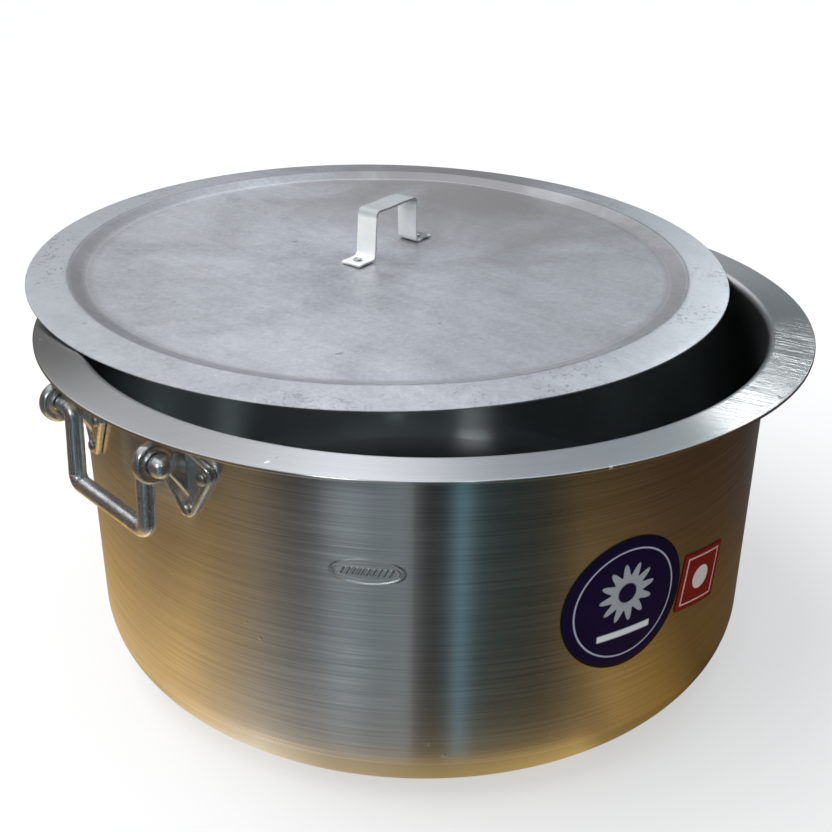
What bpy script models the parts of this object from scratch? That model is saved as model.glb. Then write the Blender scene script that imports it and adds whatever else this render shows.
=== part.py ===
"""Large flanged cooking pot with a loose dished lid and two drop handles.

Metres, +Z up. The origin is the middle of the flat base, and the drop handles hang on the -X and +X sides.
"""

import math

import bmesh
import bpy
from mathutils import Matrix, Quaternion, Vector

# Pot, spun from one sheet
HEIGHT = 0.268
WALL_RADIUS = 0.261
RIM_RADIUS = 0.291
POT_SHEET = 0.0025
BASE_CORNER = 0.049
RIM_BEND = 0.0055
TURN_STEPS = 80

# Lid, pressed from thinner sheet; heights are over the plane of its outer edge
LID_RADIUS = 0.288
LID_SHEET = 0.0015
LEDGE_RADIUS = 0.255
LEDGE_HEIGHT = 0.0023
PANEL_RADIUS = 0.242
PANEL_HEIGHT = -0.0026
LID_CREASE = 0.008
LID_CENTRE = Vector((0.0377, 0.0940, HEIGHT + 0.0060))
LID_SLOPE = Vector((0.0122, 0.0326))

# Strap handle of the lid
STRAP_WIDTH = 0.0197
STRAP_THICKNESS = 0.002
STRAP_TOP = 0.0425
STRAP_TOP_HALF = 0.0278
STRAP_FOOT_HALF = 0.0299
STRAP_END_HALF = 0.0515
STRAP_BEND = 0.0045
STRAP_CENTRE = Vector((0.0199, 0.0137))
STRAP_TURN = math.radians(11.8)
STRAP_RIVET_HALF = 0.0420

# Drop handles, each a bent round bar with a round head forged on both ends, outside the eyes
BAIL_BAR = 0.006
BAIL_LEG_HALF = 0.0445
BAIL_DROP = 0.0527
BAIL_HEAD = 0.0078
BAIL_HEAD_HALF = 0.0669
BAIL_BEND = 0.0085
BAIL_LEG_SHIFT = 0.0035
BAIL_SWING = math.radians(3.2)
# Flat left on the tip of each head, as a share of the bar
BAIL_TIP = 0.18
PIVOT_RADIUS = 0.2781
PIVOT_HEIGHT = HEIGHT - 0.0202

# Cast lugs: a kite-shaped plate, a gusset and an eye
EYE_HALF_SPACING = 0.059
EYE_RADIUS = 0.0142
EYE_HALF_WIDTH = 0.0043
EYE_EDGE = 0.003
EYE_BORE = 0.0071
EYE_MOUTH = 0.0012
PLATE_THICKNESS = 0.0045
PLATE_HALF_WIDTH = 0.027
PLATE_TOP = HEIGHT - 0.0165
PLATE_SHOULDER = HEIGHT - 0.0290
PLATE_TIP = HEIGHT - 0.0742
PLATE_CORNER = 0.0075
PLATE_CHAMFER = 0.0008
GUSSET_HALF_WIDTH = 0.0034
GUSSET_FOOT = HEIGHT - 0.0560
GUSSET_TOP = PLATE_TOP - 0.003
# Where the gusset's lower and upper edges meet the eye, in eye radii from its centre
GUSSET_LOWER = Vector((0.4, -0.88))
GUSSET_UPPER = Vector((-0.3, 0.8))

# Rivets
LUG_RIVET_SHANK = 0.0019
LUG_RIVET_HEAD = 0.0046
LUG_RIVET_DOME = 0.0028
LUG_RIVET_TAIL = 0.0015
# Place of each lug rivet on its plate: sideways, away from the handle's middle, and height
LUG_RIVETS = {
    "inner": (-0.016, HEIGHT - 0.0342),
    "outer": (0.016, HEIGHT - 0.0342),
    "lower": (0.0, HEIGHT - 0.0605),
}
LID_RIVET_SHANK = 0.0018
LID_RIVET_HEAD = 0.0036
LID_RIVET_DOME = 0.0016
LID_RIVET_TAIL = 0.001
# Face of a rivet's flat tail, as a share of its head
RIVET_TAIL_FACE = 0.75

# Stickers on the wall
LABEL_SHEET = 0.0004
ROUND_LABEL_RADIUS = 0.049
ROUND_LABEL_ANGLE = math.radians(-102.55)
ROUND_LABEL_HEIGHT = 0.1442
SQUARE_LABEL_WIDTH = 0.0485
SQUARE_LABEL_TALL = 0.0435
SQUARE_LABEL_ANGLE = math.radians(-86.1)
SQUARE_LABEL_HEIGHT = 0.1349
SQUARE_LABEL_TURN = math.radians(-9.0)

# Lengths of the cutters
LUG_DRILL = 0.04
LID_DRILL = 0.02
LABEL_PUNCH = 0.06

# Steps round full circles, and in the arcs of profiles and paths
EYE_TURN = 24
BORE_TURN = 20
RIVET_TURN = 12
LABEL_TURN = 48
BASE_ARC = 5
BEND_ARC = 4
BAR_ARC = 5
EDGE_ARC = 3
CREASE_ARC = 2

# Clearance left between neighbouring pieces
GAP = 0.0003
# Points closer than this are one point
WELD = 0.000005
# Lowest reach of a faceted turned wall, as a share of its radius
FACET = math.cos(math.pi / TURN_STEPS)

for old in list(bpy.data.objects):
    bpy.data.objects.remove(old, do_unlink=True)

PARTS = bpy.data.collections.new("flanged_pot")
TOOLS = bpy.data.collections.new("cutters")
for group in (PARTS, TOOLS):
    bpy.context.scene.collection.children.link(group)


def finish(name, colour, roughness, metallic):
    """A plain material for one kind of piece."""
    made = bpy.data.materials.new(name)
    made.use_nodes = True
    shader = made.node_tree.nodes["Principled BSDF"]
    shader.inputs["Base Color"].default_value = (*colour, 1.0)
    shader.inputs["Roughness"].default_value = roughness
    shader.inputs["Metallic"].default_value = metallic
    return made


POT_METAL = finish("spun_aluminium", (0.62, 0.61, 0.60), 0.35, 1.0)
LID_METAL = finish("lid_aluminium", (0.66, 0.66, 0.67), 0.45, 1.0)
STRAP_METAL = finish("bright_strap", (0.80, 0.81, 0.82), 0.30, 1.0)
LUG_METAL = finish("cast_lug", (0.42, 0.42, 0.42), 0.35, 1.0)
BAIL_METAL = finish("bar_steel", (0.50, 0.50, 0.52), 0.30, 1.0)
RIVET_METAL = finish("rivet_aluminium", (0.60, 0.60, 0.60), 0.35, 1.0)
ROUND_LABEL_INK = finish("round_label", (0.06, 0.05, 0.20), 0.40, 0.0)
SQUARE_LABEL_INK = finish("square_label", (0.75, 0.10, 0.07), 0.40, 0.0)


def place(name, data, paint=None):
    """Link a new object: a part when it has a material, otherwise a hidden cutter."""
    made = bpy.data.objects.new(name, data)
    if paint is None:
        TOOLS.objects.link(made)
        made.hide_render = True
        made.display_type = "WIRE"
    else:
        PARTS.objects.link(made)
        data.materials.append(paint)
    return made


def rounded(corners):
    """Points of a path whose corners, given as (point, radius, steps), are turned into arcs."""
    points = []
    for index, (corner, radius, steps) in enumerate(corners):
        if not radius:
            points.append(corner)
            continue
        back = (corners[index - 1][0] - corner).normalized()
        ahead = (corners[(index + 1) % len(corners)][0] - corner).normalized()
        half = back.angle(ahead) / 2
        centre = corner + (back + ahead).normalized() * radius / math.sin(half)
        first = corner + back * radius / math.tan(half) - centre
        axis = back.cross(ahead)
        for step in range(steps + 1):
            turn = Quaternion(axis, (2 * half - math.pi) * step / steps)
            points.append(centre + turn @ first)
    return points


def corner(x, z, radius=0.0, steps=0):
    """A corner of a turned profile, drawn in the XZ plane."""
    return Vector((x, 0.0, z)), radius, steps


def turned(name, points, paint=None, steps=TURN_STEPS, closed=False):
    """A solid of revolution about Z, from a profile that runs down its outer side."""
    count = len(points)
    edges = [(i, i + 1) for i in range(count - 1)]
    if closed:
        edges.append((count - 1, 0))
    mesh = bpy.data.meshes.new(name)
    mesh.from_pydata(points, edges, [])
    made = place(name, mesh, paint)
    screw = made.modifiers.new("turn", "SCREW")
    screw.steps = steps
    screw.render_steps = steps
    screw.use_merge_vertices = True
    screw.merge_threshold = 2 * WELD
    screw.use_smooth_shade = True
    return made


def as_mesh(shape, paint=None):
    """Turn a curve object into a closed mesh object of the same name and place."""
    bpy.context.view_layer.update()
    mesh = bpy.data.meshes.new_from_object(shape.evaluated_get(bpy.context.evaluated_depsgraph_get()))
    name = shape.name
    matrix = shape.matrix_world.copy()
    bpy.data.objects.remove(shape, do_unlink=True)
    welded = bmesh.new()
    welded.from_mesh(mesh)
    bmesh.ops.remove_doubles(welded, verts=welded.verts, dist=WELD)
    bmesh.ops.recalc_face_normals(welded, faces=welded.faces)
    welded.to_mesh(mesh)
    welded.free()
    mesh.materials.clear()
    made = place(name, mesh, paint)
    made.name = name
    made.matrix_world = matrix
    return made


def spline(name, dimensions, points, cyclic, radii=None):
    """A curve object with one straight-segment spline."""
    curve = bpy.data.curves.new(name, "CURVE")
    curve.dimensions = dimensions
    line = curve.splines.new("POLY")
    line.points.add(len(points) - 1)
    for index, point in enumerate(points):
        line.points[index].co = (*point, 1.0)
        if radii:
            line.points[index].radius = radii[index]
    line.use_cyclic_u = cyclic
    made = bpy.data.objects.new(name, curve)
    TOOLS.objects.link(made)
    return made


def slab(name, corners, half_thickness, chamfer=0.0, paint=None, matrix=Matrix()):
    """A flat outline with thickness, drawn in XY and set in place by a matrix."""
    shape = spline(name, "2D", rounded(corners), True)
    shape.data.fill_mode = "BOTH"
    shape.data.extrude = half_thickness - chamfer
    shape.data.bevel_depth = chamfer
    shape.data.bevel_resolution = 0
    shape.data.offset = -chamfer
    shape.matrix_world = matrix
    return as_mesh(shape, paint)


def rod(name, radius, depth, matrix, segments=RIVET_TURN):
    """A cylinder about the local Z axis, used as a drill or a punch."""
    mesh = bpy.data.meshes.new(name)
    shape = bmesh.new()
    bmesh.ops.create_cone(
        shape, cap_ends=True, segments=segments, radius1=radius, radius2=radius, depth=depth
    )
    shape.to_mesh(mesh)
    shape.free()
    made = place(name, mesh)
    made.matrix_world = matrix
    return made


def combine(target, operation, tool):
    """Add an exact Boolean modifier to a part."""
    change = target.modifiers.new(operation.lower(), "BOOLEAN")
    change.operation = operation
    change.solver = "EXACT"
    change.object = tool


def wall_frame(angle, distance, height):
    """Local X along the wall, local Y up and local Z straight out of the wall at an angle round the pot."""
    across = Vector((-math.sin(angle), math.cos(angle), 0.0))
    out = Vector((math.cos(angle), math.sin(angle), 0.0))
    turn = Matrix((across, Vector((0, 0, 1)), out)).transposed().to_4x4()
    return Matrix.Translation(out * distance + Vector((0, 0, height))) @ turn


def rivet(name, shank, head, dome, tail, grip, matrix):
    """A solid rivet about local Z: domed head above zero, shank, and a flat head below the grip."""
    sphere = (head * head + dome * dome) / (2 * dome)
    spread = math.asin(head / sphere)
    angles = [spread * i / EDGE_ARC for i in range(EDGE_ARC + 1)]
    profile = [Vector((sphere * math.sin(a), 0, dome - sphere * (1 - math.cos(a)))) for a in angles]
    profile += [Vector((x, 0, -grip * step)) for x, step in ((shank, 0), (shank, 1), (head, 1))]
    profile += [Vector((x, 0, -grip - tail)) for x in (head * RIVET_TAIL_FACE, 0)]
    made = turned(name, profile, RIVET_METAL, steps=RIVET_TURN)
    made.matrix_world = matrix
    return made


def build_pot():
    """The pot: inner skin from the axis up and over the rim, then the outer skin down to the axis."""
    inner = [
        corner(0, POT_SHEET),
        corner(WALL_RADIUS - POT_SHEET, POT_SHEET, BASE_CORNER - POT_SHEET, BASE_ARC),
        corner(WALL_RADIUS - POT_SHEET, HEIGHT, RIM_BEND, BEND_ARC),
        corner(RIM_RADIUS, HEIGHT),
    ]
    outer = [
        corner(RIM_RADIUS, HEIGHT - POT_SHEET),
        corner(WALL_RADIUS, HEIGHT - POT_SHEET, RIM_BEND - POT_SHEET, BEND_ARC),
        corner(WALL_RADIUS, 0, BASE_CORNER, BASE_ARC),
        corner(0, 0),
    ]
    return turned("pot_shell", rounded(inner + outer), POT_METAL)


def build_lid():
    """The lid, its strap handle and the two rivets, carried by an empty at the lid's own centre."""
    seat = bpy.data.objects.new("lid_seat", None)
    PARTS.objects.link(seat)
    upright = Vector((-LID_SLOPE.x, -LID_SLOPE.y, 1.0)).normalized()
    tilt = Vector((0, 0, 1)).rotation_difference(upright).to_matrix().to_4x4()
    seat.matrix_world = Matrix.Translation(LID_CENTRE) @ tilt

    top = [
        corner(0, PANEL_HEIGHT),
        corner(PANEL_RADIUS, PANEL_HEIGHT, LID_CREASE, CREASE_ARC),
        corner(LEDGE_RADIUS, LEDGE_HEIGHT, LID_CREASE, CREASE_ARC),
        corner(LID_RADIUS, 0),
    ]
    skin = rounded(top)
    under = [point - Vector((0, 0, LID_SHEET)) for point in reversed(skin)]
    shell = turned("lid_shell", skin + under, LID_METAL)
    shell.parent = seat

    across = Matrix.Rotation(STRAP_TURN, 4, "Z")
    strap_place = Matrix.Translation((*STRAP_CENTRE, PANEL_HEIGHT + GAP)) @ across
    middle = STRAP_THICKNESS / 2
    path = [
        corner(-STRAP_END_HALF, middle),
        corner(-STRAP_FOOT_HALF, middle, STRAP_BEND, BEND_ARC),
        corner(-STRAP_TOP_HALF, STRAP_TOP - middle, STRAP_BEND, BEND_ARC),
        corner(STRAP_TOP_HALF, STRAP_TOP - middle, STRAP_BEND, BEND_ARC),
        corner(STRAP_FOOT_HALF, middle, STRAP_BEND, BEND_ARC),
        corner(STRAP_END_HALF, middle),
    ]
    shape = bmesh.new()
    line = [shape.verts.new(point) for point in rounded(path)]
    edges = [shape.edges.new(pair) for pair in zip(line, line[1:])]
    side = bmesh.ops.extrude_edge_only(shape, edges=edges)["geom"]
    moved = [item for item in side if isinstance(item, bmesh.types.BMVert)]
    bmesh.ops.translate(shape, verts=moved, vec=(0, STRAP_WIDTH, 0))
    bmesh.ops.translate(shape, verts=shape.verts, vec=(0, -STRAP_WIDTH / 2, 0))
    mesh = bpy.data.meshes.new("lid_handle")
    shape.to_mesh(mesh)
    shape.free()
    strap = place("lid_handle", mesh, STRAP_METAL)
    strap.parent = seat
    strap.matrix_local = strap_place
    thick = strap.modifiers.new("thickness", "SOLIDIFY")
    thick.thickness = STRAP_THICKNESS
    thick.offset = 0.0
    thick.use_even_offset = True

    bpy.context.view_layer.update()
    strap_world = seat.matrix_world @ strap_place
    grip = STRAP_THICKNESS + LID_SHEET + 3 * GAP
    for side, word in ((-1, "near"), (1, "far")):
        spot = strap_world @ Matrix.Translation((side * STRAP_RIVET_HALF, 0, STRAP_THICKNESS + GAP))
        rivet(
            f"lid_rivet_{word}", LID_RIVET_SHANK, LID_RIVET_HEAD, LID_RIVET_DOME, LID_RIVET_TAIL, grip, spot
        )
        drill = rod(f"lid_drill_{word}", LID_RIVET_SHANK + GAP, LID_DRILL, spot)
        combine(strap, "DIFFERENCE", drill)
        combine(shell, "DIFFERENCE", drill)


def build_lug(name, pot, turn, side, wall_space):
    """One cast lug and its three rivets; turn swings it round the pot, side is -1 or 1 along the eye axis."""
    front = WALL_RADIUS + GAP + PLATE_THICKNESS
    lean = side * math.asin(EYE_HALF_SPACING / front)
    swing = Matrix.Rotation(turn, 4, "Z")
    plate_frame = swing @ wall_frame(lean, 0, 0)

    outline = [
        (Vector((0, PLATE_TOP, 0)), PLATE_CORNER, EDGE_ARC),
        (Vector((-PLATE_HALF_WIDTH, PLATE_SHOULDER, 0)), PLATE_CORNER, BEND_ARC),
        (Vector((0, PLATE_TIP, 0)), PLATE_CORNER, BEND_ARC),
        (Vector((PLATE_HALF_WIDTH, PLATE_SHOULDER, 0)), PLATE_CORNER, BEND_ARC),
    ]
    # Drawn at twice its thickness, because the space of the wall is cut out of its back
    plate_place = plate_frame @ Matrix.Translation((0, 0, front - PLATE_THICKNESS))
    plate = slab(name, outline, PLATE_THICKNESS, PLATE_CHAMFER, LUG_METAL, plate_place)

    # The gusset stands square to the eye axis, in the XZ plane through the middle of the eye
    foot = math.sqrt(WALL_RADIUS**2 - EYE_HALF_SPACING**2)
    pivot = Vector((PIVOT_RADIUS, PIVOT_HEIGHT))
    edge = [
        Vector((foot, GUSSET_TOP)),
        Vector((foot, GUSSET_FOOT)),
        pivot + GUSSET_LOWER * EYE_RADIUS,
        pivot,
        pivot + GUSSET_UPPER * EYE_RADIUS,
    ]
    web = [(point.to_3d(), 0, 0) for point in edge]
    upright = Matrix.Rotation(math.pi / 2, 4, "X")
    mid_plane = swing @ Matrix.Translation((0, side * EYE_HALF_SPACING, 0))
    combine(plate, "UNION", slab(f"{name}_gusset", web, GUSSET_HALF_WIDTH, matrix=mid_plane @ upright))

    eye_place = mid_plane @ Matrix.Translation((PIVOT_RADIUS, 0, PIVOT_HEIGHT)) @ upright
    barrel = [
        corner(0, EYE_HALF_WIDTH),
        corner(EYE_RADIUS, EYE_HALF_WIDTH, EYE_EDGE, EDGE_ARC),
        corner(EYE_RADIUS, -EYE_HALF_WIDTH, EYE_EDGE, EDGE_ARC),
        corner(0, -EYE_HALF_WIDTH),
    ]
    eye = turned(f"{name}_eye", rounded(barrel), steps=EYE_TURN)
    eye.matrix_world = eye_place
    combine(plate, "UNION", eye)

    reach = EYE_HALF_WIDTH + EYE_MOUTH
    bore_line = [
        corner(0, reach),
        corner(EYE_BORE + 2 * EYE_MOUTH, reach),
        corner(EYE_BORE, EYE_HALF_WIDTH - EYE_MOUTH),
        corner(EYE_BORE, EYE_MOUTH - EYE_HALF_WIDTH),
        corner(EYE_BORE + 2 * EYE_MOUTH, -reach),
        corner(0, -reach),
    ]
    bore = turned(f"{name}_bore", [point for point, _, _ in bore_line], steps=BORE_TURN)
    bore.matrix_world = eye_place
    combine(plate, "DIFFERENCE", bore)
    combine(plate, "DIFFERENCE", wall_space)

    for word, (offset, height) in LUG_RIVETS.items():
        spot = plate_frame @ Matrix.Translation((side * offset, height, front + GAP))
        inner = math.sqrt(((WALL_RADIUS - POT_SHEET) * FACET) ** 2 - (abs(offset) + LUG_RIVET_HEAD) ** 2)
        grip = front + GAP - inner + GAP
        rivet(
            f"{name}_rivet_{word}",
            LUG_RIVET_SHANK,
            LUG_RIVET_HEAD,
            LUG_RIVET_DOME,
            LUG_RIVET_TAIL,
            grip,
            spot,
        )
        drill = rod(f"{name}_drill_{word}", LUG_RIVET_SHANK + GAP, LUG_DRILL, spot)
        combine(plate, "DIFFERENCE", drill)
        combine(pot, "DIFFERENCE", drill)


def build_bail(name, direction):
    """One drop handle, its origin on the line through its two eyes; direction is -1 or 1 along X."""
    neck = math.asin(BAIL_BAR / BAIL_HEAD)
    tip = math.pi - math.asin(BAIL_TIP * BAIL_BAR / BAIL_HEAD)
    turns = [tip + (neck - tip) * i / BEND_ARC for i in range(BEND_ARC + 1)]
    reach = [BAIL_HEAD_HALF - BAIL_HEAD * math.cos(a) for a in turns]
    swell = [BAIL_HEAD * math.sin(a) / BAIL_BAR for a in turns]
    near, far = (direction * BAIL_LEG_SHIFT + side * BAIL_LEG_HALF for side in (-1, 1))
    legs = [
        (Vector((0, -BAIL_HEAD_HALF, 0)), 0, 0),
        (Vector((0, near, 0)), BAIL_BEND, BAR_ARC),
        (Vector((0, near, -BAIL_DROP)), BAIL_BEND, BAR_ARC),
        (Vector((0, far, -BAIL_DROP)), BAIL_BEND, BAR_ARC),
        (Vector((0, far, 0)), BAIL_BEND, BAR_ARC),
        (Vector((0, BAIL_HEAD_HALF, 0)), 0, 0),
    ]
    bar = rounded(legs)[1:-1]
    first = [Vector((0, -y, 0)) for y in reach]
    last = [Vector((0, y, 0)) for y in reversed(reach)]
    radii = swell + [1.0] * len(bar) + swell[::-1]
    shape = spline(name, "3D", first + bar + last, False, radii)
    shape.data.bevel_depth = BAIL_BAR
    shape.data.bevel_resolution = 4
    shape.data.use_fill_caps = True
    made = as_mesh(shape, BAIL_METAL)
    made.data.shade_smooth()
    made.location = (direction * PIVOT_RADIUS, 0, PIVOT_HEIGHT)
    made.rotation_euler = (0, -direction * BAIL_SWING, 0)


def build_labels():
    """Two thin stickers that follow the wall."""
    inside = WALL_RADIUS + GAP
    outside = inside + LABEL_SHEET
    band = [corner(outside, HEIGHT), corner(outside, 0), corner(inside, 0), corner(inside, HEIGHT)]
    sheet = turned("label_sheet", [point for point, _, _ in band], closed=True)

    frame = wall_frame(ROUND_LABEL_ANGLE, WALL_RADIUS, ROUND_LABEL_HEIGHT)
    disc = rod("round_label", ROUND_LABEL_RADIUS, LABEL_PUNCH, frame, LABEL_TURN)
    square_frame = wall_frame(SQUARE_LABEL_ANGLE, WALL_RADIUS, SQUARE_LABEL_HEIGHT)
    size = Matrix.Diagonal((SQUARE_LABEL_WIDTH, SQUARE_LABEL_TALL, LABEL_PUNCH, 1.0))
    mesh = bpy.data.meshes.new("square_label")
    shape = bmesh.new()
    bmesh.ops.create_cube(shape, size=1.0, matrix=size)
    shape.to_mesh(mesh)
    shape.free()
    square = place("square_label", mesh)
    square.matrix_world = square_frame @ Matrix.Rotation(SQUARE_LABEL_TURN, 4, "Z")

    for label, ink in ((disc, ROUND_LABEL_INK), (square, SQUARE_LABEL_INK)):
        TOOLS.objects.unlink(label)
        PARTS.objects.link(label)
        label.hide_render = False
        label.display_type = "TEXTURED"
        label.data.materials.append(ink)
        combine(label, "INTERSECT", sheet)


def main():
    pot = build_pot()
    build_lid()
    clear = WALL_RADIUS + GAP
    core = [corner(0, HEIGHT), corner(clear, HEIGHT), corner(clear, 0), corner(0, 0)]
    wall_space = turned("wall_space", [point for point, _, _ in core])
    for word, turn in (("right", 0.0), ("left", math.pi)):
        for end, side in (("front", -1), ("back", 1)):
            facing = side if word == "right" else -side
            build_lug(f"{word}_lug_{end}", pot, turn, facing, wall_space)
    build_bail("right_bail", 1)
    build_bail("left_bail", -1)
    build_labels()
    bpy.context.view_layer.update()


main()
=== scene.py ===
import math

import bmesh
import bpy
import numpy as np
from mathutils import Matrix, Vector


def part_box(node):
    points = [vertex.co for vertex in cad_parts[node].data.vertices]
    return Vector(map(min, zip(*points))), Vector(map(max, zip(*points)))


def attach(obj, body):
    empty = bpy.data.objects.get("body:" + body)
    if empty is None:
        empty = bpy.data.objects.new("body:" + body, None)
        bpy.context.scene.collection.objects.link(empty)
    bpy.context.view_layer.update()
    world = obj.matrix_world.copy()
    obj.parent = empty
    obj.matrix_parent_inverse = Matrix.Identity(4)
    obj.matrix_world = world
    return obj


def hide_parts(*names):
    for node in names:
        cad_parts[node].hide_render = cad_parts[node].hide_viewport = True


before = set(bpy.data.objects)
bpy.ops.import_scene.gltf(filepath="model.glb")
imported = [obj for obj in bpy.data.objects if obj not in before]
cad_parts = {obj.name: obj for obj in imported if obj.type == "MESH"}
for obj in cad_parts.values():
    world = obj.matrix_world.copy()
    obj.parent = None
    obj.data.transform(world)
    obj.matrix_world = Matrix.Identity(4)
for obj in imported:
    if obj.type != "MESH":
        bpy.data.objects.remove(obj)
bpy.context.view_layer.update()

# camera of the photograph: it stands back along -Y, and is turned round the pot with the whole set
view = {
    "turn": -43.2,  # degrees round Z, so that the near drop handle comes to the left
    "back": 0.8640,
    "up": 0.5802,
    "yaw": 0.352,
    "pitch": -25.424,
    "roll": -0.491,
    "lens": 51.04,  # mm
    "sensor": 36.0,
}


def turned(degrees, axis):
    return Matrix.Rotation(math.radians(degrees), 4, axis)


setTurn = turned(view["turn"], "Z")
photoCamera = bpy.data.objects.new("photoCamera", bpy.data.cameras.new("photoCamera"))
photoCamera.data.lens = view["lens"]
photoCamera.data.sensor_width = view["sensor"]
photoCamera.data.dof.use_dof = False
photoCamera.matrix_world = (
    setTurn
    @ Matrix.Translation((0, -view["back"], view["up"]))
    @ turned(view["yaw"], "Z")
    @ turned(view["pitch"], "X")
    @ turned(view["roll"], "Y")
    @ turned(90, "X")
)
bpy.context.scene.collection.objects.link(photoCamera)
bpy.context.scene.camera = photoCamera
print("camera placed")


# shapes shared by the pieces

def roundedPath(corners, steps=10, closed=False):
    # a broken line of (a, b, radius) corners, each swapped for the arc that touches both its sides
    spots = np.array([c[:2] for c in corners], float)
    radii = [c[2] for c in corners]
    if closed:
        middle = (spots[:1] + spots[-1:]) / 2
        spots = np.vstack([middle, spots, middle])
        radii = [0, *radii, 0]
    runs = [spots[:1]]
    for before, spot, after, radius in zip(spots, spots[1:], spots[2:], radii[1:]):
        if radius == 0:
            runs.append(spot[None])
            continue
        back = (before - spot) / np.linalg.norm(before - spot)
        ahead = (after - spot) / np.linalg.norm(after - spot)
        half = math.acos(back @ ahead) / 2
        centre = spot + (back + ahead) / np.linalg.norm(back + ahead) * radius / math.sin(half)
        first = spot + back * radius / math.tan(half) - centre
        last = spot + ahead * radius / math.tan(half) - centre
        swing = math.pi - 2 * half
        t = np.linspace(0, 1, steps + 1)[:, None]
        arc = (np.sin((1 - t) * swing) * first + np.sin(t * swing) * last) / math.sin(swing)
        runs.append(centre + arc)
    runs.append(spots[-1:])
    return np.vstack(runs)


def lengthsAlong(path):
    # distance travelled at each point of a line
    return np.concatenate([[0], np.cumsum(np.linalg.norm(np.diff(path, axis=0), axis=1))])


def headings(path):
    # unit direction at each point of a line
    along = np.gradient(path, axis=0)
    return along / np.linalg.norm(along, axis=1, keepdims=True)


def pointsAt(path, t):
    # points of a line at the distances t
    along = lengthsAlong(path)
    return np.stack([np.interp(t, along, path[:, k]) for k in range(path.shape[1])], 1)


def filledIn(path, step):
    # the same line with extra points, none further apart than step
    along = lengthsAlong(path)
    return pointsAt(path, np.unique(np.concatenate([along, np.arange(0, along[-1], step)]).round(6)))


def evenly(path, count):
    # count points spread evenly along a closed line, its end left out
    return pointsAt(path, np.linspace(0, lengthsAlong(path)[-1], count + 1)[:-1])


def fullTurn(count, first=-math.pi):
    # angles once round, the last one left out
    return np.linspace(first, first + 2 * math.pi, count, endpoint=False)


def lathe(profile, angles):
    # every (radius, height) of the profile carried round Z
    radius, height = profile[:, :1], profile[:, 1:]
    return np.stack([radius * np.cos(angles), radius * np.sin(angles), height + 0 * angles], -1)


def moved(grid, matrix):
    # the grid's points under a 4 x 4 matrix
    m = np.array(matrix)
    return grid @ m[:3, :3].T + m[:3, 3]


def waves(a, b, seed, count, length, height):
    # sum of sine waves of seeded headings, lengths near length, and total height near height
    draw = np.random.default_rng(seed)
    total = 0 * (a + b)
    for heading, stretch, phase in zip(*draw.random((3, count))):
        k = 2 * np.pi / (length * (0.6 + 0.8 * stretch))
        turn = 2 * np.pi * heading
        total = total + np.sin(k * (a * np.cos(turn) + b * np.sin(turn)) + 2 * np.pi * phase)
    return total * height / math.sqrt(count)


def shell(grid, loop=False):
    # points and faces of a grid that closes round its second index; its ends get fans, or join up in a loop
    rows, cols = grid.shape[:2]
    index = np.arange(rows * cols).reshape(rows, cols)
    index = np.hstack([index, index[:, :1]])
    if loop:
        index = np.vstack([index, index[:1]])
    quads = np.stack([index[:-1, :-1], index[1:, :-1], index[1:, 1:], index[:-1, 1:]], -1).reshape(-1, 4)
    points = grid.reshape(-1, 3)
    if loop:
        return points, [quads]
    hub = np.full(cols, rows * cols)
    first = np.stack([index[0, :-1], index[0, 1:], hub], -1)
    last = np.stack([index[-1, 1:], index[-1, :-1], hub + 1], -1)
    return np.vstack([points, grid[0].mean(0), grid[-1].mean(0)]), [quads, first, last]


def makePiece(name, shells, material, body, slot, *nodes):
    # closed shells joined in one mesh at the origin, standing for CAD nodes
    points, faces, count = [], [], 0
    for spots, patches in shells:
        points += spots.tolist()
        for patch in patches:
            faces += (patch + count).tolist()
        count += len(spots)
    mesh = bpy.data.meshes.new(name)
    mesh.from_pydata(points, [], faces)
    outward = bmesh.new()
    outward.from_mesh(mesh)
    bmesh.ops.recalc_face_normals(outward, faces=outward.faces)
    outward.to_mesh(mesh)
    outward.free()
    mesh.shade_smooth()
    mesh.materials.append(material)
    piece = bpy.data.objects.new(name, mesh)
    bpy.context.scene.collection.objects.link(piece)
    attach(piece, body)
    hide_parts(*nodes)
    return piece


# shader building: each helper finds its node tree from the sockets it is given

def isSocket(source):
    return isinstance(source, bpy.types.NodeSocket)


def treeOf(*sources):
    return next(source.id_data for source in sources if isSocket(source))


def setInput(socket, source):
    # links another socket to this one, or sets its value
    if isSocket(source):
        socket.id_data.links.new(source, socket)
    else:
        socket.default_value = source


def addNode(tree, kind, inputs=None, **settings):
    made = tree.nodes.new("ShaderNode" + kind)
    for key, value in settings.items():
        setattr(made, key, value)
    for socket, source in (inputs or {}).items():
        setInput(made.inputs[socket], source)
    return made


def calc(operation, a, b=0.0):
    return addNode(treeOf(a, b), "Math", {0: a, 1: b}, operation=operation).outputs[0]


def times(a, b):
    return calc("MULTIPLY", a, b)


def plus(a, b):
    return calc("ADD", a, b)


def minus(a, b):
    return calc("SUBTRACT", a, b)


def sizeOf(a):
    return calc("ABSOLUTE", a)


def weighed(*pairs):
    # sum of (value, share) pairs
    total = times(*pairs[0])
    for pair in pairs[1:]:
        total = plus(total, times(*pair))
    return total


def remap(value, fromLow, fromHigh, low=0.0, high=1.0):
    inputs = {"Value": value, "From Min": fromLow, "From Max": fromHigh, "To Min": low, "To Max": high}
    return addNode(treeOf(value), "MapRange", inputs).outputs["Result"]


def blend(factor, low, high):
    # one colour passing into another; each is a socket or (red, green, blue)
    mix = addNode(treeOf(factor), "Mix", data_type="RGBA")
    for place, source in ((0, factor), (6, low), (7, high)):
        setInput(mix.inputs[place], source if isSocket(source) else (*source, 1))
    return mix.outputs[2]


def measure(operation, a, b=(0, 0, 0)):
    # length of a vector, or distance or dot product of two
    return addNode(treeOf(a), "VectorMath", {0: a, 1: b}, operation=operation).outputs["Value"]


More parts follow.
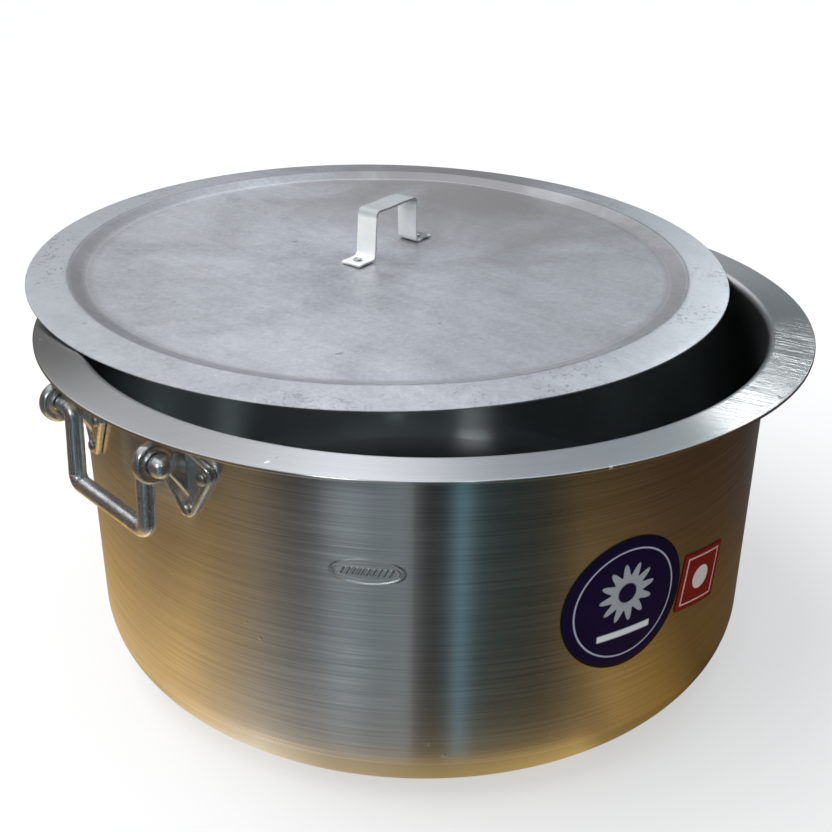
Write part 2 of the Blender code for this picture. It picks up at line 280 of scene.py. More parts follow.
def scaled(vector, rate):
    return addNode(treeOf(vector), "VectorMath", {0: vector, "Scale": rate}, operation="SCALE").outputs[0]


def added(a, b):
    return addNode(treeOf(a), "VectorMath", {0: a, 1: b}).outputs[0]


def axes(vector):
    return addNode(treeOf(vector), "SeparateXYZ", {0: vector}).outputs


def flattened(vector):
    # the vector without its height
    x, y, _ = axes(vector)
    return addNode(treeOf(vector), "CombineXYZ", {0: x, 1: y}).outputs[0]


def mapped(vector, kind="POINT", **inputs):
    return addNode(treeOf(vector), "Mapping", {"Vector": vector, **inputs}, vector_type=kind).outputs[0]


def noise(vector, scale, detail, output="Fac", **inputs):
    inputs = {"Vector": vector, "Scale": scale, "Detail": detail, **inputs}
    return addNode(treeOf(vector), "TexNoise", inputs).outputs[output]


def newGroup(name, numbers, results):
    # a group that takes a vector and named numbers; gives back the group, its inside inputs and its outputs
    group = bpy.data.node_groups.new(name, "ShaderNodeTree")
    group.interface.new_socket("Vector", in_out="INPUT", socket_type="NodeSocketVector")
    for label, value in numbers.items():
        made = group.interface.new_socket(label, in_out="INPUT", socket_type="NodeSocketFloat")
        made.default_value = value
    for label in results:
        group.interface.new_socket(label, in_out="OUTPUT", socket_type="NodeSocketFloat")
    return group, group.nodes.new("NodeGroupInput").outputs, group.nodes.new("NodeGroupOutput").inputs


latheMarks = {
    "Line": (1.0, 1.0, 3.0),  # share of the density, share of the length, detail
    "Streak": (0.3, 0.5, 3.0),
    "Scratch": (0.75, 1.2, 1.0),
}


def makeTurnedLines():
    # fine lines of a lathe: noise that changes fast with height and radius and slowly round the axis
    group, own, results = newGroup("turnedLines", {"Density": 900.0, "Length": 14.0}, latheMarks)
    around = flattened(own["Vector"])
    across = plus(measure("LENGTH", around), axes(own["Vector"])[2])
    drawn = {}
    for label, (density, length, detail) in latheMarks.items():
        fast = addNode(group, "CombineXYZ", {2: times(across, times(own["Density"], density))}).outputs[0]
        slow = scaled(around, times(own["Length"], length))
        drawn[label] = noise(added(slow, fast), 1.0, detail)
    # the scratches are the peaks, and come in patches
    patch = noise(mapped(own["Vector"], Scale=(6, 6, 30)), 1.0, 3.0)
    drawn["Scratch"] = times(remap(drawn["Scratch"], 0.54, 0.68), remap(patch, 0.44, 0.62))
    for label, value in drawn.items():
        setInput(results[label], value)
    return group


def makeMillCloud():
    # soft blotches of unpolished sheet, and a few short scuffs, which are the peaks of a stretched noise
    group, own, results = newGroup("millCloud", {"Size": 0.06, "Scuffs": 0.5}, ("Cloud", "Scuff"))
    rate = calc("DIVIDE", 1.0, own["Size"])
    setInput(results["Cloud"], noise(own["Vector"], rate, 6.0, Roughness=0.62, Distortion=0.7))
    stretched = noise(mapped(own["Vector"], Scale=(1.0, 4.5, 1.0)), 62.0, 5.0)
    setInput(results["Scuff"], times(remap(stretched, 0.60, 0.72), own["Scuffs"]))
    return group


def makeNicks():
    # sparse small dents: cells of a bent Voronoi pattern whose centre is near, thinned out by noise
    group, own, results = newGroup("nicks", {"Density": 60.0, "Spread": 0.16}, ("Nick",))
    bend = scaled(noise(own["Vector"], 240.0, 2.0, "Color"), 0.006)
    cells = addNode(group, "TexVoronoi", {"Vector": added(own["Vector"], bend), "Scale": own["Density"]})
    near = remap(cells.outputs["Distance"], 0.02, own["Spread"], 1.0, 0.0)
    few = remap(noise(own["Vector"], 19.0, 1.0), 0.54, 0.60)
    setInput(results["Nick"], times(near, few))
    return group


turnedLines, millCloud, nicks = makeTurnedLines(), makeMillCloud(), makeNicks()


def newFinish(name, **fixed):
    # a material, the inputs of its shader with the constants set, and its Object coordinates
    material = bpy.data.materials.new(name)
    material.use_nodes = True
    shader = material.node_tree.nodes["Principled BSDF"].inputs
    for socket, value in fixed.items():
        shader[socket.replace("_", " ")].default_value = value
    return material, shader, addNode(material.node_tree, "TexCoord").outputs["Object"]


def placed(group, vector, **inputs):
    # a shared effect with a material's own values
    return addNode(treeOf(vector), "Group", {"Vector": vector, **inputs}, node_tree=group).outputs


def setNormal(shader, *bumps):
    # bumps are (height, distance in metres, strength), laid one over another
    under = {}
    for height, distance, strength in bumps:
        inputs = {"Height": height, "Distance": distance, "Strength": strength, **under}
        under = {"Normal": addNode(treeOf(height), "Bump", inputs).outputs[0]}
    setInput(shader["Normal"], under["Normal"])


print("shader groups ready")

# the pot, spun from one sheet: inner skin up from the axis, over the flat rim, and down the outside
pot = {
    "height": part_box("pot_shell")[1][2],
    "rim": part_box("pot_shell")[1][0],
    "wall": 0.261,
    "sheet": 0.0025,
    "baseCorner": 0.049,
    "rimBend": 0.0055,
    "edge": 0.0009,  # rounding of the rim's cut edge
    "hub": 0.004,
    "steps": 252,
    "spacing": 0.0095,  # of the rings along the profile
    "wallWave": (0.00012, 3, 0.7),  # out of round: height, lobes, phase
    "swayStop": 0.004,  # the sway ends this far outside the wall
    "rimWave": 0.00035,
    "rimLobes": ((0.6, 5, 1.1), (0.4, 9, 0.0)),  # share, lobes, phase
}
stamp = {
    "angle": math.radians(-140.4),
    "height": 0.187,
    "halfWidth": 0.0225,
    "halfTall": 0.0085,
    "line": 0.00038,
    "lineWidth": 0.0008,
    "field": 0.00032,
    "inner": 0.0024,  # from the outer line to the thin inner one
    "thin": 0.6,  # the inner line against the outer one
    "strokes": np.arange(-4, 5) * 0.0036,  # a plain slanted row along the middle
    "stroke": (0.0011, 0.0031, 0.00030),  # half width, half height, relief
    "slant": 0.55,
    "margin": 0.006,
    "spacing": 0.0005,
    "columns": 120,
    "clear": 0.004,  # no coarse column stands nearer to the fine ones, in radians
}
potFinish = {
    "lines": {"Density": 900.0, "Length": 11.0},
    "cloud": {"Size": 0.14, "Scuffs": 0.0},
    "nicks": {"Density": 46.0, "Spread": 0.10},
    "specks": {"Density": 60.0, "Spread": 0.09},
    "calm": 0.8,  # how far the lines fade on the rim and inside
    "streaks": 0.12,  # share of the wide lines
    "tones": ((0.66, 0.66, 0.66), (0.93, 0.93, 0.92)),
    "bright": (0.98, 0.98, 0.98),  # scratches on the wall and scuffs on the rim
    "scratch": 0.5,
    "scuff": 0.4,
    "paintedShade": (0.42, 0.50, 0.52),  # painted shade on the inside, where the lid shades it
    "paintedShadeShare": 0.45,
    "speck": (0.92, 0.95, 0.95),
    "rough": (0.255, 0.27),
    "onRim": (0.0025, 0.0008),  # from this far below the top
    "inside": (0.0016, 0.0009),  # from this far within the wall's outer face
}
rimRub = {
    "place": (0.0922, -0.2633, pot["height"]),  # where the rim has been rubbed across
    "reach": (0.03, 0.115),
    "elsewhere": 0.08,
    "heading": math.radians(-72.0),
    "grain": (1 / 20, 1 / 560, 1),
}


def spunAluminium():
    # bright sheet, brushed round the axis, so that reflections stretch up and down the wall
    look = potFinish
    fixed = {"Metallic": 1.0, "Anisotropic": 0.97, "Anisotropic_Rotation": 0.25}
    material, shader, here = newFinish("spunAluminium", **fixed)
    lines = placed(turnedLines, here, **look["lines"])
    cloud = placed(millCloud, here, **look["cloud"])["Cloud"]
    nick = placed(nicks, here, **look["nicks"])["Nick"]
    height, radius = axes(here)[2], measure("LENGTH", flattened(here))
    onRim = remap(height, *(pot["height"] - depth for depth in look["onRim"]))
    inside = remap(radius, *(pot["wall"] - depth for depth in look["inside"]), 1.0, 0.0)
    # the lines are strong on the outer wall alone
    loud = minus(1.0, times(calc("MAXIMUM", onRim, inside), look["calm"]))
    tone = weighed((lines["Streak"], look["streaks"]), (lines["Line"], 1 - look["streaks"]))
    tone = plus(times(minus(tone, 0.5), loud), 0.5)
    scratch = times(lines["Scratch"], loud)
    colour = blend(remap(tone, 0.32, 0.68), *look["tones"])
    colour = blend(times(scratch, look["scratch"]), colour, look["bright"])
    # painted shade: the inside is darker, as under the lid's shadow
    colour = blend(times(inside, look["paintedShadeShare"]), colour, look["paintedShade"])
    # a few pale specks on the rim
    speck = times(placed(nicks, here, **look["specks"])["Nick"], onRim)
    colour = blend(speck, colour, look["speck"])
    setInput(shader["Metallic"], minus(1.0, speck))
    # scuffs across the rim: the peaks of a noise drawn out along one heading, mostly in one rubbed patch
    away = measure("DISTANCE", here, rimRub["place"])
    rubAndSheen = times(onRim, remap(away, *rimRub["reach"], 1.0, rimRub["elsewhere"]))
    slant = mapped(here, "TEXTURE", Rotation=(0, 0, rimRub["heading"]), Scale=rimRub["grain"])
    scuff = times(remap(noise(slant, 1.0, 3.0), 0.50, 0.66), rubAndSheen)
    colour = blend(times(scuff, look["scuff"]), colour, look["bright"])
    setInput(shader["Base Color"], colour)
    rough = plus(remap(tone, 0.3, 0.7, *look["rough"]), weighed((cloud, 0.04), (scratch, 0.05)))
    setInput(shader["Roughness"], rough)
    tangent = addNode(treeOf(here), "Tangent", direction_type="RADIAL", axis="Z")
    setInput(shader["Tangent"], tangent.outputs[0])
    setNormal(shader, (tone, 0.0003, 0.02), (nick, 0.0006, 0.35), (scuff, 0.00025, 0.38))
    return material


def stampRelief(across, up):
    # gap is the distance from an oval: a raised line runs on it and a thin one inside it,
    # and the field within is pressed in
    a, b = stamp["halfWidth"], stamp["halfTall"]
    e = np.sqrt((across / a) ** 2 + (up / b) ** 2)
    slope = np.sqrt((across / a**2) ** 2 + (up / b**2) ** 2) / np.maximum(e, 0.05)
    gap = (e - 1) / np.maximum(slope, 1 / a)
    line, lineWidth, thin = stamp["line"], stamp["lineWidth"], stamp["thin"]
    outer = line * np.exp(-((gap / lineWidth) ** 2))
    inner = thin * line * np.exp(-(((gap + stamp["inner"]) / (thin * lineWidth)) ** 2))
    pressed = stamp["field"] / (1 + np.exp(np.clip(gap / (0.4 * lineWidth), -50, 50)))
    # slanted strokes: distance from the nearest one, cut off above and below
    wide, tall, proud = stamp["stroke"]
    apart = np.abs((across - stamp["slant"] * up)[..., None] - stamp["strokes"]).min(-1)
    row = proud * np.clip(1.4 - apart / wide, 0, 1) * np.clip(4 * (1 - np.abs(up) / tall), 0, 1)
    return outer + inner - pressed + row


def buildPot():
    wall, rim, top, sheet = pot["wall"], pot["rim"], pot["height"], pot["sheet"]
    low = stamp["height"] - stamp["halfTall"] - stamp["margin"]
    high = stamp["height"] + stamp["halfTall"] + stamp["margin"]
    upper = [
        (pot["hub"], sheet, 0),
        (wall - sheet, sheet, pot["baseCorner"] - sheet),
        (wall - sheet, top, pot["rimBend"]),
        (rim, top, pot["edge"]),
        (rim, top - sheet, pot["edge"]),
        (wall, top - sheet, pot["rimBend"] - sheet),
        (wall, high, 0),
    ]
    lower = [(wall, low, 0), (wall, 0, pot["baseCorner"]), (pot["hub"], 0, 0)]
    above = filledIn(roundedPath(upper, 12), pot["spacing"])
    band = filledIn(np.array([(wall, high), (wall, low)]), stamp["spacing"])
    below = filledIn(roundedPath(lower, 16), pot["spacing"])
    profile = np.vstack([above, band[1:-1], below])
    # the columns stand closer where the oval is pressed
    reach = (stamp["halfWidth"] + stamp["margin"]) / wall
    fine = stamp["angle"] + np.linspace(-reach, reach, stamp["columns"])
    around = fullTurn(pot["steps"])
    around = np.sort(np.concatenate([around[np.abs(around - stamp["angle"]) > reach + stamp["clear"]], fine]))
    grid = lathe(profile, around)
    radius, height = profile[:, :1], profile[:, 1:]
    outer = np.arange(len(profile))[:, None] > len(above) - 2  # rows on the outer wall
    relief = stampRelief(wall * (around - stamp["angle"]), height - stamp["height"]) * outer
    # the wall is a little out of round, and the rim's flat a little wavy, more so towards its edge
    sway, lobes, phase = pot["wallWave"]
    sway = sway * np.sin(lobes * around + phase) * np.clip(height / top, 0, 1) ** 2
    shift = (relief + sway * (radius < wall + pot["swayStop"])) / np.maximum(radius, 0.02)
    grid[..., :2] *= 1 + shift[..., None]
    lift = np.clip((radius - wall) / (rim - wall), 0, 1) ** 1.5
    ripple = sum(share * np.sin(lobes * around + phase) for share, lobes, phase in pot["rimLobes"])
    grid[..., 2] -= pot["rimWave"] * lift * (1 + ripple)
    makePiece("potShell", [shell(grid)], spunAluminium(), "pot", "pot_metal", "pot_shell")


buildPot()
print("pot built")

# the loose lid: a flat flange, a step down and a wide panel; heights are over the plane of its outer edge
lid = {
    "radius": 0.2879,
    "sheet": 0.0015,
    "ledge": (0.255, 0.0023),
    "panel": (0.242, -0.0026),
    "crease": 0.0025,
    "sweep": 0.026,  # the slope runs softly into the panel
    "edge": 0.0006,
    "hub": 0.003,
    "centre": (0.0377, 0.0940, pot["height"] + 0.0060),
    "slope": (0.0122, 0.0326),
    "steps": 320,
    "spacing": 0.009,
    "dent": 0.00035,
    "dents": (4, 7, 0.16),  # seed, count, length
    "hold": 0.05,  # the dents fade out this far from the edge
    "edgeWave": (0.3, 4),  # share of the dents' height, and lobes, of the wave at the edge
}
lidFinish = {
    "cloud": {"Size": 0.15, "Scuffs": 0.7},
    "grain": {"Size": 0.004, "Scuffs": 0.0},
    "patch": {"Size": 0.035, "Scuffs": 0.0},
    "nicks": {"Density": 30.0, "Spread": 0.10},
    "roll": {"Rotation": (0, 0, math.radians(-85)), "Scale": (1 / 9, 1 / 110, 1)},
    "shares": (0.45, 0.12, 0.18, 0.25),  # of cloud, rolling marks, patches and grain in the tone
    "tones": ((0.43, 0.44, 0.465), (0.76, 0.77, 0.805)),
    "scuff": (0.78, 0.79, 0.81),
    "paintedBrownReflection": (0.38, 0.355, 0.35),
    "rubAndSheen": (0.78, 0.82, 0.85),
    "stain": (0.24, 0.24, 0.27),
    "nick": (0.18, 0.18, 0.20),
    "outerCreaseShade": (0.22, 0.22, 0.24),
    "innerCreaseHighlight": (0.82, 0.83, 0.85),
    "paintedShade": (0.28, 0.26, 0.26),
    "across": setTurn @ Vector((1, 0, 0)),  # to either side, as seen from the camera, the flange gets a painted highlight and the slope painted shade
    "sides": (0.13, 0.25),
    "sideShare": 0.55,
}
# where the painted brown reflection lies on the lid
brownReflectionSpot = {"place": (0.22, 0.19, 0.28), "reach": (0.05, 0.20), "broken": 0.35, "strength": 0.9}
lidUp = Vector((-lid["slope"][0], -lid["slope"][1], 1)).normalized()
lidLean = Vector((0, 0, 1)).rotation_difference(lidUp).to_matrix().to_4x4()
lidSeat = Matrix.Translation(lid["centre"]) @ lidLean


def millSheet():
    # dull sheet with clouds and rolling marks, a stained flange, painted shade in the outer crease and a
    # painted highlight along the inner one
    look, ledge, panel = lidFinish, lid["ledge"][0], lid["panel"][0]
    material, shader, here = newFinish("millSheet", Metallic=0.80)
    local = mapped(here, "TEXTURE", Location=lid["centre"], Rotation=lidSeat.to_euler())
    radius = measure("LENGTH", flattened(local))
    cloud, scuff = placed(millCloud, here, **look["cloud"])
    grain = placed(millCloud, here, **look["grain"])["Cloud"]
    patch = placed(millCloud, here, **look["patch"])["Cloud"]
    nick = placed(nicks, here, **look["nicks"])["Nick"]
    rolled = noise(mapped(local, "TEXTURE", **look["roll"]), 1.0, 4.0)
    tone = weighed(*zip((cloud, rolled, patch, grain), look["shares"]))
    colour = blend(remap(tone, 0.38, 0.62), *look["tones"])
    colour = blend(times(scuff, 0.3), colour, look["scuff"])
    # painted reflection of a brown room over the far side: distance from one place, broken up by the clouds
    away = measure("DISTANCE", here, brownReflectionSpot["place"])
    away = plus(away, times(minus(cloud, 0.5), brownReflectionSpot["broken"]))
    paintedBrownReflection = remap(away, *brownReflectionSpot["reach"], brownReflectionSpot["strength"], 0.0)
    colour = blend(paintedBrownReflection, colour, look["paintedBrownReflection"])
    # painted highlight: to either side the flange is lighter
    side = sizeOf(measure("DOT_PRODUCT", local, look["across"]))
    side = remap(side, *look["sides"], 0.0, look["sideShare"])
    onFlange = remap(radius, ledge, ledge + 0.004)
    colour = blend(times(onFlange, side), colour, look["rubAndSheen"])
    # stains on the flange: the peaks of a twisted noise, kept to a few clusters
    stain = remap(noise(here, 210.0, 3.0, Distortion=1.2), 0.56, 0.64)
    cluster = remap(noise(here, 16.0, 1.0), 0.51, 0.62)
    stain = times(times(stain, cluster), onFlange)
    colour = blend(times(stain, 0.5), colour, look["stain"])
    colour = blend(times(nick, 0.7), colour, look["nick"])
    # creases, painted shade in the outer one and a painted highlight along the inner one: distance from a
    # ring, broken up by the marks
    outer = remap(sizeOf(minus(radius, ledge + 0.0004)), 0.0002, 0.0016, 1.0, 0.0)
    inner = remap(sizeOf(minus(radius, panel - 0.0006)), 0.0002, 0.0014, 1.0, 0.0)
    colour = blend(times(outer, times(rolled, 1.1)), colour, look["outerCreaseShade"])
    colour = blend(times(inner, times(cloud, 0.9)), colour, look["innerCreaseHighlight"])
    # painted shade: the slope is darker to either side
    slope = times(remap(radius, panel - 0.008, panel), remap(radius, ledge - 0.002, ledge, 1.0, 0.0))
    colour = blend(times(slope, side), colour, look["paintedShade"])
    setInput(shader["Base Color"], colour)
    setInput(shader["Roughness"], remap(tone, 0.35, 0.65, 0.46, 0.38))
    setNormal(shader, (cloud, 0.0012, 0.08), (grain, 0.0002, 0.12), (nick, 0.0008, 0.5))
    return material


def buildLid():
    top = [
        (lid["hub"], lid["panel"][1], 0),
        (*lid["panel"], lid["sweep"]),
        (*lid["ledge"], lid["crease"]),
        (lid["radius"], 0, lid["edge"]),
    ]
    under = [(r, z - lid["sheet"], bend) for r, z, bend in reversed(top)]
    profile = filledIn(roundedPath(top + under, 8), lid["spacing"])
    around = fullTurn(lid["steps"])
    grid = lathe(profile, around)
    # slow dents in the sheet, fading out before the edge so that the outline stays round
    dents = waves(grid[..., 0], grid[..., 1], *lid["dents"], lid["dent"])
    hold = np.clip((lid["radius"] - profile[:, :1]) / lid["hold"], 0, 1)
    share, lobes = lid["edgeWave"]
    grid[..., 2] += dents * hold - share * lid["dent"] * (1 - hold) * (1 + np.sin(lobes * around))
    makePiece("lidShell", [shell(moved(grid, lidSeat))], millSheet(), "lid", "lid_metal", "lid_shell")


buildLid()
print("lid built")

# strap handle: a flat strip bent into a bridge, its section carried along the bends
strap = {
    "width": 0.0197,
    "thickness": 0.002,
    "top": 0.0425,
    "topHalf": 0.0278,
    "footHalf": 0.0299,
    "endHalf": 0.0515,
    "bend": 0.0045,
    "centre": (0.0199, 0.0137),
    "turn": 11.8,
    "gap": 0.0003,
    "edge": 0.0005,
    "endCorner": (0.0015, 0.94),  # length and share of the width
    "sag": (0.0002, 140, 0.03),  # height, waves in radians a metre, from this height up
    "rivetHalf": 0.0420,
}
strapFinish = {
    "cloud": {"Size": 0.008, "Scuffs": 0.6},
    "tones": ((0.91, 0.94, 0.96), (0.98, 1.0, 1.0)),
    "paintedTopShade": (0.0335, 0.0375),  # heights over the lid's centre where the top gets painted shade
    "topShadeTone": (0.34, 0.36, 0.38),
    "feet": [(-1, 0.6, (0.60, 0.62, 0.64)), (1, 0.9, (0.12, 0.125, 0.135))],  # end, share, painted shade
    "footReach": (0.0100, 0.0125),
}
strapSeat = (
    lidSeat
    @ Matrix.Translation((*strap["centre"], lid["panel"][1] + strap["gap"]))
    @ turned(strap["turn"], "Z")
)


def zincStrip():
    # bright plated strip with soft spangle, painted shade along the top and on its feet
    look, base = strapFinish, lid["centre"][2]
    material, shader, here = newFinish("zincStrip", Metallic=0.10)
    cloud = placed(millCloud, here, **look["cloud"])["Cloud"]
    colour = blend(remap(cloud, 0.35, 0.65), *look["tones"])
    # painted shade: the top face is darker
    paintedTopShade = remap(axes(here)[2], *(base + height for height in look["paintedTopShade"]), 0.0, 0.9)
    colour = blend(paintedTopShade, colour, look["topShadeTone"])
    # painted shade on the feet, darkest on the far one
    for end, share, footShade in look["feet"]:
        away = measure("DISTANCE", here, strapSeat @ Vector((end * strap["rivetHalf"], 0, 0)))
        colour = blend(remap(away, *look["footReach"], share, 0.0), colour, footShade)
    setInput(shader["Base Color"], colour)
    setInput(shader["Roughness"], remap(cloud, 0.3, 0.7, 0.34, 0.46))
    setNormal(shader, (cloud, 0.0004, 0.08))
    return material


def buildStrap():
    w, t, bend, edge = strap["width"] / 2, strap["thickness"] / 2, strap["bend"], strap["edge"]
    half = [
        (strap["topHalf"], strap["top"] - t, bend),
        (strap["footHalf"], t, bend),
        (strap["endHalf"], t, 0),
    ]
    bends = [(-x, z, r) for x, z, r in reversed(half)] + half
    path = filledIn(roundedPath(bends, 12), 0.003)
    along = headings(path)
    out = np.stack([-along[:, 1], along[:, 0]], 1)
    section = [(-w, -t, edge), (w, -t, edge), (w, t, edge), (-w, t, edge)]
    ring = filledIn(roundedPath(section, 4, closed=True), 0.0025)[:-1]
    # the strip narrows a hair at its sheared ends, as rounded corners
    corner, narrow = strap["endCorner"]
    ends = np.abs(path[:, 0]) > strap["endHalf"] - corner
    side = np.where(ends, narrow, 1.0)[:, None] * ring[:, 0]
    grid = np.stack([path[:, :1] + out[:, :1] * ring[:, 1], side, path[:, 1:] + out[:, 1:] * ring[:, 1]], -1)
    # the top isn't quite straight: a slow sine along it
    height, rate, above = strap["sag"]
    grid[..., 2] += height * np.sin(grid[..., 0] * rate) * (grid[..., 2] > above)
    makePiece("lidHandle", [shell(moved(grid, strapSeat))], zincStrip(), "lid", "strap_metal", "lid_handle")


buildStrap()

# rivets: a domed hammered head, the shank, and a flat tail
lidRivet = {"shank": 0.0018, "head": 0.0036, "dome": 0.0016, "tail": 0.001}
lugRivet = {"shank": 0.0019, "head": 0.0046, "dome": 0.0028, "tail": 0.0015}
rivetForm = {
    "crown": 0.06,  # the dome starts at this share of its quarter wave
    "flat": 0.8,  # power that flattens it
    "lift": 0.0002,
    "edge": 0.0003,
    "hub": 0.0004,
    "steps": 32,
    "dents": (4, 1.5, 0.06),  # count, and length and height as shares of the head
}


def tumbledCasting(name, tones, rough):
    # worn cast or forged metal: dark skin, brighter where rubbed, shallow pits
    material, shader, here = newFinish(name, Metallic=0.96)
    cloud = placed(millCloud, here, Size=0.014, Scuffs=0.7)["Cloud"]
    pit = placed(nicks, here, Density=420.0, Spread=0.3)["Nick"]
    colour = blend(remap(cloud, 0.34, 0.66), *tones)
    setInput(shader["Base Color"], blend(times(pit, 0.6), colour, (0.12, 0.12, 0.12)))
    setInput(shader["Roughness"], remap(cloud, 0.3, 0.7, *rough))
    setNormal(shader, (cloud, 0.0007, 0.16), (pit, 0.0004, 0.4))
    return material


rivetMetal = tumbledCasting("hammeredRivet", ((0.42, 0.42, 0.42), (0.70, 0.70, 0.70)), (0.38, 0.22))


def rivetShell(size, grip, place, seed):
    # a quarter wave from crown to rim makes the dome, dented by slow waves
    head, shank, edge = size["head"], size["shank"], rivetForm["edge"]
    t = np.linspace(rivetForm["crown"], 1, 12) * math.pi / 2
    dome = np.stack([head * np.sin(t), size["dome"] * np.cos(t) ** rivetForm["flat"] + rivetForm["lift"]], 1)
    tail = -grip - size["tail"]
    stem = [
        (head, 0, 0),
        (shank, 0, 0),
        (shank, -grip, 0),
        (head, -grip, edge),
        (head, tail, edge),
        (rivetForm["hub"], tail, 0),
    ]
    profile = np.vstack([dome, roundedPath(stem, 3)])
    grid = lathe(profile, fullTurn(rivetForm["steps"]))
    count, length, deep = rivetForm["dents"]
    dents = waves(grid[..., 0], grid[..., 1], seed, count, length * head, deep * head)
    grid[..., 2] -= (profile[:, 1:] > 2 * rivetForm["lift"]) * np.abs(dents)
    return shell(moved(grid, place))


for side, word, seed in ((-1, "near", 3), (1, "far", 8)):
    spot = strapSeat @ Matrix.Translation((side * strap["rivetHalf"], 0, strap["thickness"] + strap["gap"]))
    grip = strap["thickness"] + lid["sheet"] + 3 * strap["gap"]
    made = [rivetShell(lidRivet, grip, spot, seed)]
    makePiece(f"lidRivet_{word}", made, rivetMetal, "lid", "rivet_metal", f"lid_rivet_{word}")
print("strap and its rivets built")

# cast lugs: kite plate with a raised border, a web, and a round eye, melted together as one casting
lug = {
    "spacing": 0.059,  # from the handle's middle to an eye
    "pivot": (0.2781, pot["height"] - 0.0202),
    "eye": 0.0142,
    "eyeHalf": 0.0043,
    "eyeEdge": 0.003,
    "bore": 0.0067,
    "mouth": 0.0012,
    "mouthEdge": 0.0004,
    "thickness": 0.0045,
    "halfWidth": 0.027,
    "top": pot["height"] - 0.0165,
    "shoulder": pot["height"] - 0.0290,
    "tip": pot["height"] - 0.0742,
    "corner": 0.0075,
    "gap": 0.0003,
    "border": 0.0007,
    "edge": ((0.985, 0.0010), (1.0, 0.0022)),  # share of the outline, depth
    "web": (0.0046, 0.0034),  # half width at the plate and at the eye
    "webFoot": (pot["height"] - 0.0560, pot["height"] - 0.0205),
    "webSink": 0.0012,  # the foot stands this far out of the wall, inside the plate
    "webStop": 0.0086,  # from the eye's axis
    "webTall": 0.0112,  # half height there
    "boxy": 0.4,  # power that squares the web's section
    "voxel": 0.00055,
    "soft": (0.5, 4),  # smoothing of the casting: factor, rounds
    "tones": ((0.55, 0.56, 0.56), (0.97, 0.98, 0.98)),
    "rough": (0.30, 0.15),
}
# along the plate, and below the rim
rivetPlaces = {"inner": (-0.016, 0.0342), "outer": (0.016, 0.0342), "lower": (0.0, 0.0605)}
lugMetal = tumbledCasting("castLug", lug["tones"], lug["rough"])


def wallFrame(angle):
    # local X along the wall, Y up, Z straight out
    across = (-math.sin(angle), math.cos(angle), 0)
    out = (math.cos(angle), math.sin(angle), 0)
    return Matrix((across, (0, 0, 1), out)).transposed().to_4x4()


def plateGrid(front):
    # the outline shrunk to its middle, ring by ring: field, raised border, rounded edge, then the curved back
    top, shoulder, tip, half = lug["top"], lug["shoulder"], lug["tip"], lug["halfWidth"]
    corners = [(0, top), (-half, shoulder), (0, tip), (half, shoulder)]
    outline = evenly(roundedPath([(*c, lug["corner"]) for c in corners], 8, closed=True), 96)
    centre = np.array([0, (shoulder * 2 + top + tip) / 4])
    drop = lug["border"]
    rings = np.array([
        (0.05, drop), (0.4, drop), (0.72, drop), (0.77, 0.7 * drop), (0.81, 0.1 * drop), (0.85, 0), (0.91, 0),
        (0.95, 0.2 * drop), *lug["edge"],
    ])
    face = centre + rings[:, :1, None] * (outline - centre)
    depth = np.broadcast_to(front - rings[:, 1:], face.shape[:2])
    back = centre + np.array([1.0, 0.97, 0.5, 0.05])[:, None, None] * (outline - centre)
    rest = np.sqrt((pot["wall"] + lug["gap"]) ** 2 - back[..., 0] ** 2)
    return np.concatenate([np.dstack([face, depth]), np.dstack([back, rest])])


def webGrid():
    # rounded boxes lofted from the plate into the ring of the eye, short of its bore: the middle rises with
    # s to the power 0.8, and the width shrinks with the cube of 1 - s
    s = np.linspace(0, 1, 12)[:, None]
    foot = math.sqrt(pot["wall"] ** 2 - lug["spacing"] ** 2) + lug["webSink"]
    low, high = lug["webFoot"]
    x = foot + (lug["pivot"][0] - lug["webStop"] - foot) * s
    middle = (low + high) / 2 + (lug["pivot"][1] - (low + high) / 2) * s**0.8
    tall = (high - low) / 2 + (lug["webTall"] - (high - low) / 2) * s
    wide = lug["web"][1] + (lug["web"][0] - lug["web"][1]) * (1 - s) ** 3
    t = fullTurn(40, 0)
    across = np.sign(np.cos(t)) * np.abs(np.cos(t)) ** lug["boxy"]
    upward = np.sign(np.sin(t)) * np.abs(np.sin(t)) ** lug["boxy"]
    return np.stack([x + 0 * t, wide * across, middle + tall * upward], -1)


def eyeGrid():
    # a ring section carried round the eye's own axis
    bore, eye, half, mouth = lug["bore"], lug["eye"], lug["eyeHalf"], lug["mouth"]
    inner, outer = lug["mouthEdge"], lug["eyeEdge"]
    corners = [
        (bore + mouth, half, inner), (eye, half, outer), (eye, -half, outer),
        (bore + mouth, -half, inner), (bore, mouth - half, inner), (bore, half - mouth, inner),
    ]
    return lathe(roundedPath(corners, 5, closed=True)[:-1], fullTurn(56, 0))


